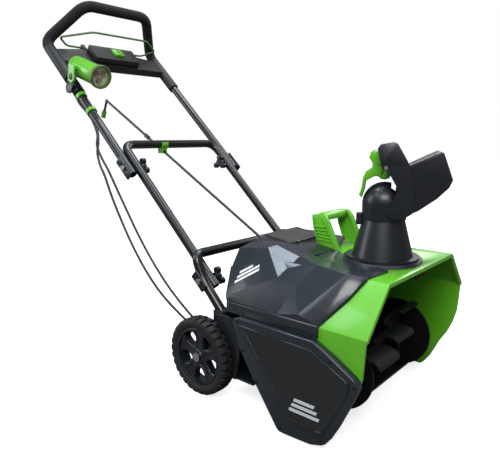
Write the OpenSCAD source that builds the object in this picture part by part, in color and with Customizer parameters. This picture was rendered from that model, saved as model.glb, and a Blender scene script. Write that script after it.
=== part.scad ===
// Walk-behind battery snow thrower: wheeled auger housing, turning chute and folding handle.
// +X points forward, +Y to the operator's left, +Z up. The ground is at z = 0.

/* [Auger housing] */
// Width cleared in one pass, inside the side plates
clearing_w = 508; // [500:1:512]
// Height of the crease where the side plates meet the chamfer
crease_z = 254; // [250:1:258]
// Height of the top deck
deck_z = 346; // [344:1:348]
// Forward reach of the top lip from the ground contact
nose_x = 94; // [90:1:98]
/* [Auger] */
// Outer radius of the rubber paddles
paddle_r = 104; // [98:1:108]
// Radius of the auger shaft
auger_shaft_r = 8; // [7:0.5:9]
/* [Wheels] */
// Outer radius of the tyres
wheel_r = 98; // [94:1:99]
// Width of a tyre
tyre_w = 44; // [40:1:46]
/* [Handle] */
// Radius of the steel handle tubes
tube_r = 12.5; // [12:0.1:12.6]
// Wall of the steel handle tubes
tube_wall = 1.6; // [1.2:0.1:2]
/* [Chute] */
// Angle that the chute is turned to the left at rest
chute_rest_turn = 25; // [20:1:30]
// Outer radius of the chute's base flange
flange_r = 90; // [86:1:92]

/* [Hidden] */

// Distance from the ground contact of the side plates to the middle of the machine's length
origin_x = 487;
half_in = clearing_w / 2;
half_out = half_in + 6;
deck_half = 175;
auger_x = -28;
auger_z = 120;
channel_r = 114;
channel_wall = 4;
wheel_x = -349;
wheel_y = 283;
wheel_z = wheel_r;
axle_r = 6;
chute_x = -8;
motor_x = -190;
motor_z = 180;
belt_y = -270;
// Handle line: the fold joint and the clamp joint, seen from the side
fold_x = -691;
fold_z = 544;
clamp_x = -392;
clamp_z = 270;
outer_y = 211;
inner_y = 185;
// Crank rod from its bend to the housing's rear wall
rod_top = [-1072, -18, 757];
rod_end = [-268, -68, 339];
worm_mid = [-31, -104, 328];

dark = "#2e343a";
green = "#62c92e";
black = "#1c1c1e";

// ---- helpers ----
module placed() translate([origin_x, 0, 0]) children();
function unit(v) = v / norm(v);
function bend(a, p, b, d, n = 4) =
    let (q0 = p + d * unit(a - p), q2 = p + d * unit(b - p))
    [for (i = [0:n]) let (t = i / n) (1 - t) * (1 - t) * q0 + 2 * t * (1 - t) * p + t * t * q2];
function route(pts, d, n = 4) = concat(
    [pts[0]],
    [for (i = [1:1:len(pts) - 2]) each bend(pts[i - 1], pts[i], pts[i + 1], d, n)],
    [pts[len(pts) - 1]]
);
function tangent(path, i) =
    unit(path[min(i + 1, len(path) - 1)] - path[max(i - 1, 0)]);
function ring(path, i, r, sides, ref) =
    let (t = tangent(path, i), u = unit(cross(t, ref)), v = cross(t, u))
    [for (k = [0:sides - 1]) path[i] + r * (cos(360 * k / sides) * u + sin(360 * k / sides) * v)];
// Solid round bar or cord along a path
module bar(path, r, sides = 16, ref = [0, 0, 1]) {
    n = len(path);
    polyhedron(
        points = [for (i = [0:n - 1]) each ring(path, i, r, sides, ref)],
        faces = concat(
            [[for (k = [0:sides - 1]) k]],
            [for (i = [0:n - 2]) for (k = [0:sides - 1]) let (m = (k + 1) % sides)
                each [[i * sides + k, (i + 1) * sides + m, i * sides + m],
                    [i * sides + k, (i + 1) * sides + k, (i + 1) * sides + m]]],
            [[for (k = [sides - 1:-1:0]) (n - 1) * sides + k]]
        ),
        convexity = 6
    );
}
// Hollow round tube along a path
module tube(path, r, wall, sides = 20, ref = [0, 0, 1]) {
    n = len(path);
    half = n * sides;
    last = (n - 1) * sides;
    polyhedron(
        points = concat(
            [for (i = [0:n - 1]) each ring(path, i, r, sides, ref)],
            [for (i = [0:n - 1]) each ring(path, i, r - wall, sides, ref)]
        ),
        faces = concat(
            [for (i = [0:n - 2]) for (k = [0:sides - 1]) let (m = (k + 1) % sides, a = i * sides, b = a + sides)
                each [[a + k, b + m, a + m], [a + k, b + k, b + m],
                    [half + a + k, half + a + m, half + b + m], [half + a + k, half + b + m, half + b + k]]],
            [for (k = [0:sides - 1]) let (m = (k + 1) % sides)
                each [[k, m, half + m], [k, half + m, half + k],
                    [last + k, half + last + m, last + m], [last + k, half + last + k, half + last + m]]]
        ),
        convexity = 8
    );
}
// Straight round rod between two points, as a true cylinder
module rod(a, b, r, fn = 32) {
    d = b - a;
    translate(a)
        rotate([0, acos(d.z / norm(d)), atan2(d.y, d.x)])
            cylinder(h = norm(d), r = r, $fn = fn);
}
module cyl_y(x, y0, y1, z, r, fn = 48)
    translate([x, y1, z]) rotate([90, 0, 0]) cylinder(h = y1 - y0, r = r, $fn = fn);
// Profile drawn in x and z, extruded from y0 to y1
module slab(y0, y1)
    translate([0, y1, 0]) rotate([90, 0, 0]) linear_extrude(y1 - y0) children();
// Convex solid through a set of corners
module corners(pts)
    hull() polyhedron(points = pts, faces = [[for (i = [0:len(pts) - 1]) i]]);
module both_sides() {
    children();
    mirror([0, 1, 0]) children();
}

// ---- auger housing ----
plate_edge = [[nose_x, crease_z], [89, 175], [80, 141], [66, 108], [49, 80], [25, 29], [10, 8], [0, 0], [-32, 0],
    [-80, 6], [-101, 12], [-169, 102], [-222, 158], [-224, 214], [-222, crease_z]];
module hood_section(grow)
    polygon([[-half_out - grow, -10], [half_out + grow, -10], [half_out + grow, crease_z + 0.41 * grow],
        [deck_half + 0.41 * grow, deck_z + grow], [-deck_half - 0.41 * grow, deck_z + grow], [-half_out - grow, crease_z + 0.41 * grow]]);
module along_x(x0, x1)
    translate([x0, 0, 0]) rotate([90, 0, 90]) linear_extrude(x1 - x0) children();
// Rear edge of the channel at a height above the auger
function channel_back(r, up) = auger_x - sqrt(r * r - up * up);
module back_wall() {
    outer_r = channel_r + channel_wall;
    slab(-half_in, half_in) difference() {
        translate([auger_x, auger_z]) circle(r = outer_r, $fn = 96);
        translate([auger_x, auger_z]) circle(r = channel_r, $fn = 96);
        translate([auger_x, -60]) square([300, 400]);
        translate([auger_x - 160, auger_z + 40]) square([200, 200]);
    }
    slab(-half_in, half_in)
        polygon([[channel_back(channel_r, 40), auger_z + 40], [channel_back(outer_r, 40), auger_z + 40], [-143, 262],
            [-134, deck_z - 4], [-130, deck_z - 4], [-139, 262]]);
}
module auger_housing() placed() color(green) difference() {
    union() {
        both_sides() slab(half_in, half_out) polygon(plate_edge);
        difference() {
            along_x(-205, nose_x + 2) hood_section(0);
            along_x(-206, nose_x + 3) hood_section(-4);
            translate([-300, -300, -20]) cube([500, 600, crease_z + 14]);
        }
        intersection() {
            back_wall();
            along_x(-260, nose_x) hood_section(0);
            translate([-300, -300, 0]) cube([600, 600, deck_z - 4]);
        }
        // rolled front lip
        along_x(nose_x - 8, nose_x + 2) difference() {
            hood_section(-4);
            hood_section(-9);
            translate([-300, -20]) square([600, crease_z + 14]);
        }
        // spout stiffening ring round the chute hole
        translate([chute_x, 0, deck_z - 12]) difference() {
            cylinder(h = 9, r = 87, $fn = 96);
            translate([0, 0, -1]) cylinder(h = 11, r = 80, $fn = 96);
        }
    }
    translate([chute_x, 0, deck_z - 30]) cylinder(h = 60, r = 80, $fn = 96);
    both_sides() cyl_y(auger_x, half_in - 1, half_out + 1, auger_z, 17);
    cyl_y(motor_x, -half_out - 1, -half_in + 1, motor_z, 14);
    rod(rod_end, worm_mid, 9);
}
module scraper_bar() placed() color("#26282b") {
    slab(-half_in, half_in)
        polygon([[-50, 0], [-24, 0], [-24, 1.7], [-30, 1.7], [-40, 2.3], [-50, 3.7]]);
}
cover_edge = [[-229, 218], [-225, 228], [-211, 232], [-13, 230], [29, 209], [79, 180], [88, 172], [91, 160],
    [80, 133], [48, 64], [30, 31], [22, 20], [12, 14], [-12, 6], [-42, 4], [-82, 2], [-94, 3], [-101, 8],
    [-169, 102], [-205, 158]];
panel_edge = [[-206, 218], [-14, 213], [62, 176], [72, 169], [74, 160], [68, 137], [19, 42], [10, 37],
    [-5, 36], [-70, 39]];
module side_cover() placed() color(dark) difference() {
    slab(-280, -half_out - 0.5) polygon(cover_edge);
    slab(-276.5, -half_out) offset(delta = -4) polygon(cover_edge);
}
module side_cover_panel() placed() color("#23282c") difference() {
    slab(-284.5, -280) polygon(panel_edge);
    slab(-286, -283) offset(delta = -7) polygon(panel_edge);
}
module left_bearing_cap() placed() color(black) {
    cyl_y(auger_x, half_out + 0.2, half_out + 8, auger_z, 30);
    for (a = [45:90:315])
        cyl_y(auger_x + 22 * cos(a), half_out + 8, half_out + 12, auger_z + 22 * sin(a), 5, 24);
}

// ---- shroud and battery ----
rear_outer = [
    [-261, -264, 232.4], [-261, -264, 260], [-299, -205, 320], [-312, -162, 358], [-306, -64, 378], [-306, 64, 378],
    [-312, 162, 358], [-299, 205, 320], [-261, 264, 260], [-261, 264, 236], [-299, -200, 214], [-299, 200, 214],
    [-205, 264, 260], [-205, 264, 236], [-205, 203, 322], [-205, 160, 354], [-133, 7, 352],
    [-223, -158, 370], [-234, -110, 369], [-136, -152, 357], [-152, -208, 319], [-136, -263, 258], [-136, -263, 232.4],
    [-152, -100, 214], [-152, 100, 214]
];
// Outline of the shroud seen from above, where it lies over the green housing
wing_edge = [[-262, -300], [-12, -300], [-12, -262], [29, -212], [49, -178], [55, -96], [44, -90], [-65, -47],
    [-133, 7], [-205, 130], [-205, 300], [-262, 300]];
function inset(p, t) = [p.x + (p.x < -250 ? t : p.x > -180 ? -t - 2 : 0), p.y - sign(p.y) * min(t, abs(p.y)),
    p.z > 240 ? p.z - t : p.z - 30];
module shroud_skin() {
    corners(rear_outer);
    intersection() {
        along_x(-261, 60) hood_section(4.4);
        translate([0, 0, 232.4]) linear_extrude(150) polygon(wing_edge);
    }
}
module motor_shroud() placed() color(dark) difference() {
    shroud_skin();
    corners([for (p = rear_outer) inset(p, 4)]);
    along_x(-262, 120) hood_section(0.6);
    // opening for the battery, and the seat of its door
    translate([-300, -60, 300]) cube([74, 120, 120]);
    on_top() translate([-8, -74, -0.2]) cube([100, 148, 12]);
    rod(rod_top, rod_end, 8);
    translate([chute_x, 0, deck_z]) cylinder(h = 30, r = flange_r + 1.5, $fn = 96);
}
// Slope of the shroud's top, falling forward from its rear edge
top_slope = atan2(26, 173);
module on_top() translate([-306, 0, 378]) rotate([0, top_slope, 0]) children();
module battery_bay() placed() color("#3a3a3c") difference() {
    translate([-292, -56, 236]) cube([62, 112, 112]);
    translate([-289, -53, 240]) cube([56, 106, 120]);
    translate([-300, -20, 300]) cube([20, 40, 60]);
}
module battery_door() placed() color("#3a3430") on_top() {
    translate([2, -72, 0.6]) cube([85, 144, 3.4]);
    // hinge barrels along the front edge, and the finger tab at the rear
    for (y = [-50, 38]) translate([88, y, 4]) rotate([-90, 0, 0]) cylinder(h = 12, r = 2.5, $fn = 32);
    translate([-1, -14, 0.6]) cube([3.5, 28, 5]);
}
module battery_pack() placed() color("#2b2b2d") {
    difference() {
        translate([-286, -50, 241]) cube([50, 100, 104]);
        for (y = [-36, -12, 12, 36]) translate([-290, y - 1.5, 260]) cube([6, 3, 70]);
        translate([-280, -12, 336]) cube([14, 24, 12]);
    }
}
module pack_release_button() placed() color(green)
    translate([-279.4, -11.4, 340.6]) cube([12.8, 22.8, 7]);

// ---- chassis and wheels ----
module chassis() placed() color(black) difference() {
    union() {
        translate([-300, -254, 66]) cube([112, 508, 4]);
        translate([-300, -254, 66]) cube([4, 508, 148]);
        both_sides() slab(250, 258) polygon([[-300, 66], [-240, 66], [-224, 158], [-224, 214], [-300, 214]]);
        both_sides() translate([-366, 200, 78]) cube([70, 24, 38]);
        both_sides() translate([-340, 193, 140]) cube([40, 36, 68]);
        both_sides() translate([-344, 204, 100]) cube([44, 14, 50]);
        translate([-312, -244, 112]) cube([14, 22, 34]);
    }
    cyl_y(wheel_x, -260, 260, wheel_z, axle_r + 0.02);
    both_sides() rod([-278.2, outer_y, 150.5], [-340, outer_y, 215.4], tube_r + 0.02);
    // room for the wheels
    both_sides() cyl_y(wheel_x, 236, 300, wheel_z, wheel_r + 4, 64);
    cyl_y(motor_x, -254.1, -100, motor_z, 41);
}
module wheel_axle() placed() color("#9a9da0") {
    cyl_y(wheel_x, -281, 281, wheel_z, axle_r);
    // push caps that keep the wheels on
    both_sides() cyl_y(wheel_x, 275, 282.5, wheel_z, 11);
}
module tyre() {
    lugs = 24;
    difference() {
        cyl_y(wheel_x, wheel_y - tyre_w, wheel_y, wheel_z, wheel_r - 5, 96);
        cyl_y(wheel_x, wheel_y - tyre_w - 1, wheel_y + 1, wheel_z, 72, 96);
    }
    for (i = [0:lugs - 1]) {
        translate([wheel_x, 0, wheel_z]) rotate([0, i * 360 / lugs, 0])
            translate([-7, wheel_y - tyre_w + (i % 2) * 18 + 2, wheel_r - 8]) cube([14, 22, 7.2]);
    }
}
module hub() {
    difference() {
        union() {
            difference() {
                cyl_y(wheel_x, wheel_y - tyre_w + 4, wheel_y - 3, wheel_z, 72, 96);
                cyl_y(wheel_x, wheel_y - tyre_w, wheel_y, wheel_z, 65, 96);
            }
            cyl_y(wheel_x, wheel_y - 42, wheel_y - 9, wheel_z, 17);
            for (i = [0:4])
                translate([wheel_x, 0, wheel_z]) rotate([0, i * 72, 0])
                    translate([-9, wheel_y - 30, 12]) cube([18, 16, 55]);
        }
        cyl_y(wheel_x, wheel_y - 60, wheel_y + 10, wheel_z, axle_r + 0.06);
        cyl_y(wheel_x, wheel_y - 8.5, wheel_y + 10, wheel_z, 14);
    }
}
module tyre_left() placed() color(black) tyre();
module hub_left() placed() color("#2a2a2c") hub();
module tyre_right() placed() color(black) mirror([0, 1, 0]) tyre();
module hub_right() placed() color("#2a2a2c") mirror([0, 1, 0]) hub();

// ---- drive ----
module motor_case() placed() color("#8a8d90") difference() {
    union() {
        cyl_y(motor_x, -half_in, -140, motor_z, 40);
        cyl_y(motor_x, -140, -132, motor_z, 22);
    }
    cyl_y(motor_x, -half_in - 1, -144, motor_z, 36);
}
module motor_rotor() placed() color("#b5b8ba") {
    cyl_y(motor_x, -276, -150, motor_z, 5);
    cyl_y(motor_x, -240, -160, motor_z, 33);
    cyl_y(motor_x, belt_y - 5, belt_y + 5, motor_z, 13);
}
module driven_pulley() placed() color("#55585a") difference() {
    cyl_y(auger_x, belt_y - 5, belt_y + 5, auger_z, 50, 72);
    cyl_y(auger_x, belt_y - 6, belt_y + 6, auger_z, auger_shaft_r);
}
// Belt outline: two pulley arcs and their common tangents
module belt_outline(extra) {
    hull() {
        translate([auger_x, auger_z]) circle(r = 50 + extra, $fn = 64);
        translate([motor_x, motor_z]) circle(r = 13 + extra, $fn = 32);
    }
}
module drive_belt() placed() color("#202020")
    slab(belt_y - 4.5, belt_y + 4.5) difference() {
        belt_outline(3.3);
        belt_outline(0.3);
    }
module controller_board() placed() color("#2f6b3a") {
    translate([-290, 90, 71]) cube([100, 110, 2]);
    for (i = [0:3]) translate([-280 + 22 * i, 110, 73]) cube([12, 16, 14]);
    translate([-286, 140, 73]) cube([90, 44, 24]);
}

// ---- auger ----
module auger_shaft() placed() color("#a7aaad") cyl_y(auger_x, -276, half_out, auger_z, auger_shaft_r);
module auger_core() placed() color("#3b3e40") difference() {
    union() {
        cyl_y(auger_x, -240, 240, auger_z, 22);
        // end discs, and smaller discs between the blades
        for (y = [-156, 150]) cyl_y(auger_x, y, y + 6, auger_z, 88, 72);
        for (y = [-52, 46]) cyl_y(auger_x, y, y + 6, auger_z, 52);
    }
    cyl_y(auger_x, -250, 250, auger_z, auger_shaft_r);
}
// One arched rubber blade, rooted on the core
module blade(y0, y1) slab(y0, y1) difference() {
    translate([66, 0]) circle(r = 50, $fn = 64);
    translate([66, 0]) circle(r = 45, $fn = 64);
    translate([0, -120]) square([240, 120]);
    circle(r = 22.3, $fn = 48);
}
module auger_paddles() placed() color("#161616") translate([auger_x, 0, auger_z]) intersection() {
    for (turn = [0, 180]) {
        rotate([0, turn + 4, 0]) blade(-149.5, -52.5);
        rotate([0, turn - 12, 0]) blade(-45.5, 45.5);
        rotate([0, turn - 40, 0]) blade(52.5, 149.5);
    }
    rotate([90, 0, 0]) cylinder(h = 600, r = paddle_r, center = true, $fn = 96);
}
module auger_bearings() placed() color("#7d8083") both_sides() difference() {
    cyl_y(auger_x, half_in - 4, half_out, auger_z, 17);
    cyl_y(auger_x, half_in - 5, half_out + 1, auger_z, auger_shaft_r + 0.05);
}

// ---- carry handle ----
module handle_leg() polygon([[-206, 434], [-172, 436], [-160, 418], [-126, deck_z], [-150, deck_z], [-186, deck_z + 18],
    [-200, 400]]);
module carry_handle() placed() color(green) difference() {
    carry_handle_whole();
    translate([0, 0, 0.4]) shroud_skin();
    translate([-240, -40, 0]) cube([200, 200, deck_z]);
}
module carry_handle_whole() {
    difference() {
        slab(-2, 16) handle_leg();
        slab(4, 18) offset(delta = -4) handle_leg();
    }
    for (i = [0:4])
        slab(4, 15.9) translate([-190 + i * 6, 412 - i * 12]) square([22 + i * 2, 3]);
    slab(16, 118) translate([-191, 424]) {
        difference() {
            translate([2, 0]) circle(r = 15, $fn = 48);
            translate([2, -4]) circle(r = 11, $fn = 48);
            translate([-30, -40]) square([60, 35]);
        }
    }
    difference() {
        slab(118, 136) handle_leg();
        slab(116, 130) offset(delta = -4) handle_leg();
    }
}

// ---- chute ----
module at_chute() translate([chute_x, 0, 0]) rotate([0, 0, chute_rest_turn]) children();
module cone_wall(z0, z1, r0, r1, wall) rotate_extrude($fn = 96)
    polygon([[r0 - wall, z0], [r0, z0], [r1, z1], [r1 - wall, z1]]);
module chute_base() placed() color(black) at_chute() {
    difference() {
        union() {
            translate([0, 0, deck_z + 0.4]) cylinder(h = 8, r = flange_r, $fn = 96);
            translate([0, 0, deck_z - 24]) cylinder(h = 30, r = 79.6, $fn = 96);
            translate([0, 0, deck_z - 24]) cylinder(h = 11, r = 92, $fn = 96);
            for (i = [0:39]) rotate([0, 0, i * 9])
                translate([91, -3, deck_z - 24]) cube([6, 6, 11]);
        }
        translate([0, 0, deck_z - 30]) cylinder(h = 60, r = 72, $fn = 96);
    }
}
dome_z = 480;
dome_r = 50;
tilt_x = 27;
tilt_z = 474;
trigger_x = 1;
trigger_z = 565;
cheek_y = 58;
spout_y = 56;
module pivot_at(x, z, length, r) translate([x, 0, z]) rotate([90, 0, 0])
    cylinder(h = length, r = r, center = true, $fn = 48);
// Domed head on a short skirt
module dome_profile(r, low) {
    translate([0, dome_z]) intersection() {
        circle(r = r, $fn = 72);
        square([r, r]);
    }
    translate([0, low]) square([r, dome_z - low]);
}
module chute_tube() placed() color("#24272a") at_chute() difference() {
    union() {
        translate([0, 0, deck_z + 8.4]) cylinder(h = 5, r = 84, $fn = 96);
        cone_wall(deck_z + 12, 446, 70, 47, 3);
        rotate_extrude($fn = 72) difference() {
            dome_profile(dome_r, 444);
            dome_profile(dome_r - 3.5, 440);
        }
        both_sides() translate([tilt_x, 0, tilt_z]) rotate([-90, 0, 0])
            translate([0, 0, 42]) cylinder(h = cheek_y - 42.4, r = 22, $fn = 48);
        // rear catch
        translate([-62, -13, 430]) cube([13, 26, 26]);
    }
    translate([0, 0, deck_z]) cylinder(h = 16, r = 66.5, $fn = 96);
    // opening towards the spout
    translate([14, -36, 462]) cube([80, 72, 80]);
    pivot_at(tilt_x, tilt_z, 300, 4.05);
}
// Flat cheeks that carry the pivots, and the spout between them
cheek_edge = [[-18, 606], [-13, 614], [16, 619], [24, 616], [51, 570], [58, 530], [64, 490], [60, 466], [44, 455],
    [26, 455], [13, 464], [12, 482], [22, 495], [26, 522], [12, 546], [-7, 563], [-11, 575]];
spout_edge = [[-13, 604], [20, 612], [51, 570], [112, 600], [118, 597], [139, 541], [132, 524], [109, 500], [72, 472],
    [60, 466], [50, 500], [26, 522], [12, 546], [-5, 570]];
spout_inner = [[-40, 560], [4, 580], [20, 602], [46, 562], [112, 592], [150, 620], [170, 545], [126, 530],
    [104, 507], [68, 480], [62, 400], [-40, 400]];
module deflector() placed() color("#24272a") at_chute() difference() {
    union() {
        both_sides() slab(cheek_y, cheek_y + 4) polygon(cheek_edge);
        slab(-cheek_y - 0.1, cheek_y + 0.1) difference() {
            polygon(cheek_edge);
            polygon(spout_inner);
        }
        slab(-spout_y, spout_y) polygon(spout_edge);
    }
    slab(-spout_y + 4, spout_y - 4) polygon(spout_inner);
    pivot_at(tilt_x, tilt_z, 300, 4.05);
    pivot_at(trigger_x, trigger_z, 300, 4.05);
    translate([-60, -24, 480]) cube([64, 48, 160]);
    // room for the head inside the cheeks, over the whole tilt
    slab(-cheek_y, cheek_y) {
        translate([0, 470]) circle(r = 58, $fn = 64);
        translate([1, 483]) circle(r = dome_r + 1.8, $fn = 64);
    }
}
trigger_edge = [[-16, 600], [-26, 603], [-34, 597], [-37, 585], [-29, 572], [-30, 562], [-44, 553], [-49, 542],
    [-52, 518], [-57, 500], [-51, 493], [-46, 509], [-43, 532], [-24, 543], [-16, 543], [-9, 537], [0, 536], [10, 540],
    [9, 549], [11, 565], [5, 575], [-4, 583], [-9, 596]];
module deflector_trigger() placed() color(green) at_chute() difference() {
    slab(-22, 22) polygon(trigger_edge);
    pivot_at(trigger_x, trigger_z, 100, 4.05);
}
module trigger_pin() placed() color("#9a9da0") at_chute()
    pivot_at(trigger_x, trigger_z, 2 * cheek_y + 8, 4);
module deflector_pins() placed() color("#9a9da0") at_chute() both_sides()
    translate([tilt_x, 0, tilt_z]) rotate([-90, 0, 0]) {
        translate([0, 0, 46]) cylinder(h = 18, r = 4, $fn = 32);
        translate([0, 0, cheek_y + 4.2]) cylinder(h = 4, r = 9, $fn = 32);
    }

// ---- chute crank ----
rod_dir = unit(rod_end - rod_top);
arm_dir = unit(cross(cross([0, 0, -1], rod_dir), rod_dir)) * -1;
arm_end = rod_top + 54 * arm_dir;
module crank_rod() placed() color("#202124") {
    rod(rod_top, rod_end, 4);
    rod(arm_end, rod_top, 4);
    translate(rod_top) sphere(r = 5.2, $fn = 32);
    rod(rod_top + 262 * rod_dir, rod_top + 282 * rod_dir, 6.5);
    rod(rod_end, rod_end - 24 * rod_dir, 7);
}
module crank_grip() placed() color(green) difference() {
    rod(arm_end - 14 * arm_dir, arm_end + 10 * arm_dir, 8);
    rod(arm_end - 30 * arm_dir, arm_end + 4 * arm_dir, 4.06);
}
bar_x = -749;
bar_z = 608;
rod_at_bar = rod_top + rod_dir * ((bar_x - rod_top.x) / rod_dir.x);
module rod_clip() placed() color(green) difference() {
    union() {
        translate([bar_x, rod_at_bar.y, bar_z]) rotate([90, 0, 0]) cylinder(h = 22, r = 17, center = true, $fn = 48);
        translate([rod_at_bar.x - 11, rod_at_bar.y - 9, rod_at_bar.z - 9]) cube([22, 18, 16]);
    }
    translate([bar_x, 0, bar_z]) rotate([90, 0, 0]) cylinder(h = 300, r = tube_r + 0.1, center = true, $fn = 48);
    rod(rod_at_bar - 40 * rod_dir, rod_at_bar + 40 * rod_dir, 5.2);
    translate([bar_x - 40, rod_at_bar.y - 30, bar_z + 6]) cube([80, 60, 30]);
}
worm_dir = unit(worm_mid - rod_end);
module chute_worm() placed() color("#3c3f42") {
    rod(rod_end + 3 * worm_dir, worm_mid + 46 * worm_dir, 5);
    for (i = [-3:3]) rod(worm_mid + (i * 9 - 2) * worm_dir, worm_mid + (i * 9 + 2) * worm_dir, 9);
}
module worm_bearings() placed() color("#55585a") for (d = [-44, 36]) difference() {
    translate(worm_mid + d * worm_dir) translate([-4, -9, -9]) cube([8, 18, deck_z - 4 - worm_mid.z + 9 - d * worm_dir.z]);
    rod(worm_mid + (d - 20) * worm_dir, worm_mid + (d + 20) * worm_dir, 5.08);
}

// ---- handle frames ----
handle_dir = unit([fold_x - clamp_x, 0, fold_z - clamp_z]);
upper_dir = unit([-1113 + 691, 0, 936 - 544]);
module bolt_hole(x, z) cyl_y(x, -260, 260, z, 4.06, 32);
module lower_frame() placed() color(black) difference() {
    tube(route([[-292, -outer_y, 165], [clamp_x, -outer_y, clamp_z], [-422, -outer_y, 333],
        [-422, outer_y, 333], [clamp_x, outer_y, clamp_z], [-292, outer_y, 165]], 26), tube_r, tube_wall, 20, [1, 0, 1]);
    bolt_hole(clamp_x, clamp_z);
}
module middle_frame() placed() color(black) difference() {
    tube(route([[-374, -inner_y, clamp_z - 18], [bar_x, -inner_y, bar_z], [bar_x, inner_y, bar_z],
        [-374, inner_y, clamp_z - 18]], 38), tube_r, tube_wall, 20, [1, 0, 1]);
    bolt_hole(clamp_x, clamp_z);
    bolt_hole(fold_x, fold_z);
}
grip_low = [-1113, outer_y, 936];
grip_top = [-1013, 121, 1048];
loop_path = route([handle_pt(-27, -outer_y, 0), [grip_low.x, -grip_low.y, grip_low.z],
    [grip_top.x, -grip_top.y, grip_top.z], grip_top, grip_low, handle_pt(-27, outer_y, 0)], 30);
module upper_frame() placed() color(black) difference() {
    tube(loop_path, tube_r, tube_wall, 20, [0, 1, 0.01] + [1, 0, 1]);
    bolt_hole(fold_x, fold_z);
}
module foam_grip() placed() color("#2f3032")
    tube([for (p = loop_path) if (p.z > 900) p], 17.5, 4.9, 20, [0, 1, 0.01] + [1, 0, 1]);
// Curved plastic saddle on the outside of a joint
module saddle(c, dir, y0, y1, length) {
    translate([c[0], 0, c[1]]) rotate([0, -atan2(dir.z, dir.x), 0]) difference() {
        translate([-length / 2, y0, -13]) cube([length, y1 - y0, 26]);
        cyl_y(0, 100, 300, 0, 4.06, 32);
    }
}
module frame_saddles() placed() color(black) both_sides() {
    saddle([clamp_x, clamp_z], handle_dir, outer_y + tube_r + 0.2, outer_y + tube_r + 5, 52);
}
module frame_bolts() placed() color("#9a9da0") both_sides()
    for (p = [[clamp_x, clamp_z, 5], [fold_x, fold_z, 6]]) {
        cyl_y(p[0], inner_y - 22, outer_y + tube_r + p[2], p[1], 4, 32);
        cyl_y(p[0], outer_y + tube_r + p[2], outer_y + tube_r + p[2] + 4, p[1], 8, 32);
    }
module fold_saddles() placed() color(black) both_sides() {
    saddle([fold_x, fold_z], upper_dir, outer_y + tube_r + 0.2, outer_y + tube_r + 6, 70);
}
// Three-lobed clamp knob
module knob(x, z) difference() {
    union() {
        cyl_y(x, inner_y - 31, inner_y - 15, z, 12);
        for (a = [90:120:330])
            cyl_y(x + 17 * cos(a), inner_y - 31, inner_y - 19, z + 17 * sin(a), 9);
    }
    cyl_y(x, inner_y - 26, inner_y, z, 4.06, 32);
}
module knob_fold_left() placed() color(black) knob(fold_x, fold_z);
module knob_clamp_left() placed() color(black) knob(clamp_x, clamp_z);
module knob_fold_right() placed() color(black) mirror([0, 1, 0]) knob(fold_x, fold_z);
module knob_clamp_right() placed() color(black) mirror([0, 1, 0]) knob(clamp_x, clamp_z);

// ---- controls ----
// Local x runs up the handle, local -z faces forward and up
module in_handle(along) translate([fold_x, 0, fold_z]) rotate([0, -atan2(upper_dir.z, upper_dir.x), 0])
    translate([along, 0, 0]) children();
cross_at = 500;
module collar(x0, x1, r) for (s = [-1, 1]) translate([x0, s * outer_y, 0]) rotate([0, 90, 0])
    cylinder(h = x1 - x0, r = r, $fn = 48);
module control_crossbar() placed() color("#26282a") in_handle(cross_at) difference() {
    union() {
        translate([0, 0, -14]) linear_extrude(26)
            polygon([[-37, -200], [-37, 200], [22, 200], [42, 96], [42, -96], [22, -200]]);
        collar(-112, 42, 17.5);
        for (s = [-1, 1]) translate([40, s * 90 - 6, -18]) cube([22, 12, 16]);
    }
    collar(-300, 300, tube_r + 0.02);
    for (s = [-1, 1]) translate([bail_at - cross_at, s * 90, -10]) rotate([90, 0, 0])
        cylinder(h = 40, r = 3.06, center = true, $fn = 32);
}
module switch_box() placed() color("#1f2022") in_handle(cross_at) difference() {
    translate([-32, -88, -38]) cube([68, 176, 24]);
    translate([-28, -84, -34]) cube([60, 168, 20]);
    translate([-12, -10, -44]) cube([34, 40, 20]);
}
module start_button() placed() color(green) in_handle(cross_at)
    translate([-11.6, -9.6, -45]) cube([33.2, 39.2, 22]);
bail_at = 554;
function handle_pt(along, y, n) =
    [fold_x, y, fold_z] + along * upper_dir + n * [upper_dir.z, 0, -upper_dir.x];
bail_path = route([handle_pt(bail_at, -80, 10), handle_pt(bail_at, -150, 10), handle_pt(542, -191, 45),
    handle_pt(509, -108, 101), handle_pt(509, 108, 101), handle_pt(542, 191, 45), handle_pt(bail_at, 150, 10),
    handle_pt(bail_at, 80, 10)], 14, 3);
module bail() placed() color("#3f7d3a") {
    bar(bail_path, 3, 10, [0.31, 0.12, 1]);
}

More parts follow.
